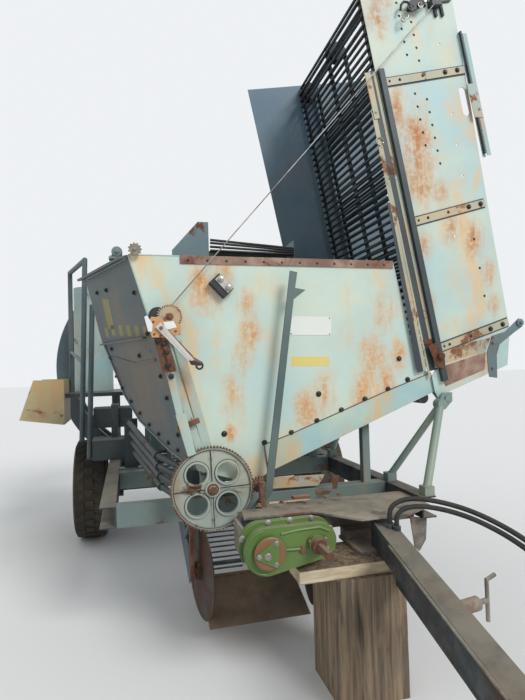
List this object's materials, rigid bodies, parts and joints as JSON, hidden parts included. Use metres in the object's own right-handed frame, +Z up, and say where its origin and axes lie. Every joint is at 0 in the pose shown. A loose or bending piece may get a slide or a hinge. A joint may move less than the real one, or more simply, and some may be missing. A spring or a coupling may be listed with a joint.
{
  "type": "potato harvester",
  "caption": "Towed single-row potato harvester with bunker, folded unloading elevator, lifting ring, picking table and drawbar, parked on a wooden block.",
  "frame": {"origin": "middle of the machine's footprint, on the ground", "axes": "+X to the machine's left, +Y to the rear, +Z up"},
  "size_m": [3.363, 5.862, 4.0911],
  "materials": {
    "blue_paint": "faded turquoise paint with rust",
    "slate_paint": "faded slate blue paint",
    "cream_paint": "faded cream paint with rust",
    "green_paint": "oily green paint",
    "orange_paint": "faded orange paint",
    "dark_frame": "dirty brown black steel",
    "rusty_steel": "rusty",
    "bar_steel": "worn dark steel",
    "gear_steel": "greasy cast iron",
    "cable_wire": "wire rope",
    "coupler_steel": "zinc plated",
    "tyre_rubber": "dusty",
    "belt_rubber": "dull",
    "hose_rubber": "satin",
    "old_wood": "weathered"
  },
  "bodies": {
    "root": {"side_beams": "dark_frame", "cross_beams": "blue_paint", "front_deck": "dark_frame", "axle": "dark_frame", "ring_cradle": "dark_frame", "gearbox": "green_paint", "pto_shaft": "rusty_steel", "drive_gears": "gear_steel", "shift_lever": "slate_paint", "bunker_front": "blue_paint", "bunker_rear": "blue_paint", "bunker_end": "slate_paint", "bunker_chute": "slate_paint", "bunker_rails": "rusty_steel", "bunker_conveyor": "dark_frame", "pivot_stays": "blue_paint", "winch_post": "blue_paint", "winch": "orange_paint", "coulter_arms": "rusty_steel", "dig_channel": "slate_paint", "share": "rusty_steel", "sieve_web": "bar_steel", "guard_tubes": "slate_paint", "picking_table": "slate_paint", "table_belt": "belt_rubber", "platforms": "slate_paint", "entry_steps": "slate_paint", "handrails": "slate_paint", "drum_shield": "blue_paint", "stone_box": "cream_paint", "wood_support": "old_wood"},
    "wheel_right": {"tyre_right": "tyre_rubber", "rim_right": "rusty_steel"},
    "wheel_left": {"tyre_left": "tyre_rubber", "rim_left": "rusty_steel"},
    "ring": {"ring_drum": "slate_paint", "ring_rods_cage": "bar_steel", "ring_pocket_plates": "slate_paint"},
    "disc_right": {"disc_right": "bar_steel"},
    "disc_left": {"disc_left": "bar_steel"},
    "elevator": {"elevator_near_wall": "blue_paint", "elevator_far_wall": "blue_paint", "elevator_bars": "bar_steel", "elevator_rollers": "dark_frame", "elevator_rails": "rusty_steel"},
    "cable_swing": {"cable_swing": "cable_wire"},
    "cable_pay": {"cable_pay": "cable_wire"},
    "drawbar": {"drawbar_beam": "dark_frame", "tow_eye": "dark_frame", "parking_jack": "slate_paint", "hose_upper": "hose_rubber", "hose_lower": "hose_rubber", "hose_couplers": "coupler_steel"}
  },
  "joints": [
    {"name": "wheel_right_spin", "type": "hinge", "parent": "root", "child": "wheel_right", "pos_m": [-1.11647, 1.831, 0.465], "axis": [1, 0, 0], "continuous": true},
    {"name": "wheel_left_spin", "type": "hinge", "parent": "root", "child": "wheel_left", "pos_m": [1.22353, 1.831, 0.465], "axis": [1, 0, 0], "continuous": true},
    {"name": "ring_spin", "type": "hinge", "parent": "root", "child": "ring", "pos_m": [-0.34647, 2.591, 1.64], "axis": [0, 1, 0], "continuous": true},
    {"name": "disc_right_spin", "type": "hinge", "parent": "root", "child": "disc_right", "pos_m": [-0.36647, -0.469, 0.43], "axis": [0.9903, 0.1392, 0], "continuous": true},
    {"name": "disc_left_spin", "type": "hinge", "parent": "root", "child": "disc_left", "pos_m": [0.29353, -0.469, 0.43], "axis": [0.9903, -0.1392, 0], "continuous": true},
    {"name": "elevator_fold", "type": "hinge", "parent": "root", "child": "elevator", "pos_m": [1.16587, -0.039, 1.36925], "axis": [0, 1, 0], "range_deg": [0, 80]},
    {"name": "drawbar_swing", "type": "hinge", "parent": "root", "child": "drawbar", "pos_m": [0.48353, -1.059, 0.7], "axis": [0, 0, 1], "range_deg": [-12, 12]},
    {"name": "cable_turn", "type": "hinge", "parent": "root", "child": "cable_swing", "pos_m": [-0.55747, -0.681, 1.899], "axis": [0, 1, 0], "range_deg": [0, 50.43]},
    {"name": "cable_run", "type": "slide", "parent": "cable_swing", "child": "cable_pay", "axis": [0.6607, 0, 0.7507], "range_m": [0, 1.5606]}
  ],
  "couplings": [
    {"joint": "cable_turn", "follows": "elevator_fold", "ratio": 0.62973},
    {"joint": "cable_run", "follows": "elevator_fold", "m_per_rad": 1.1162}
  ]
}
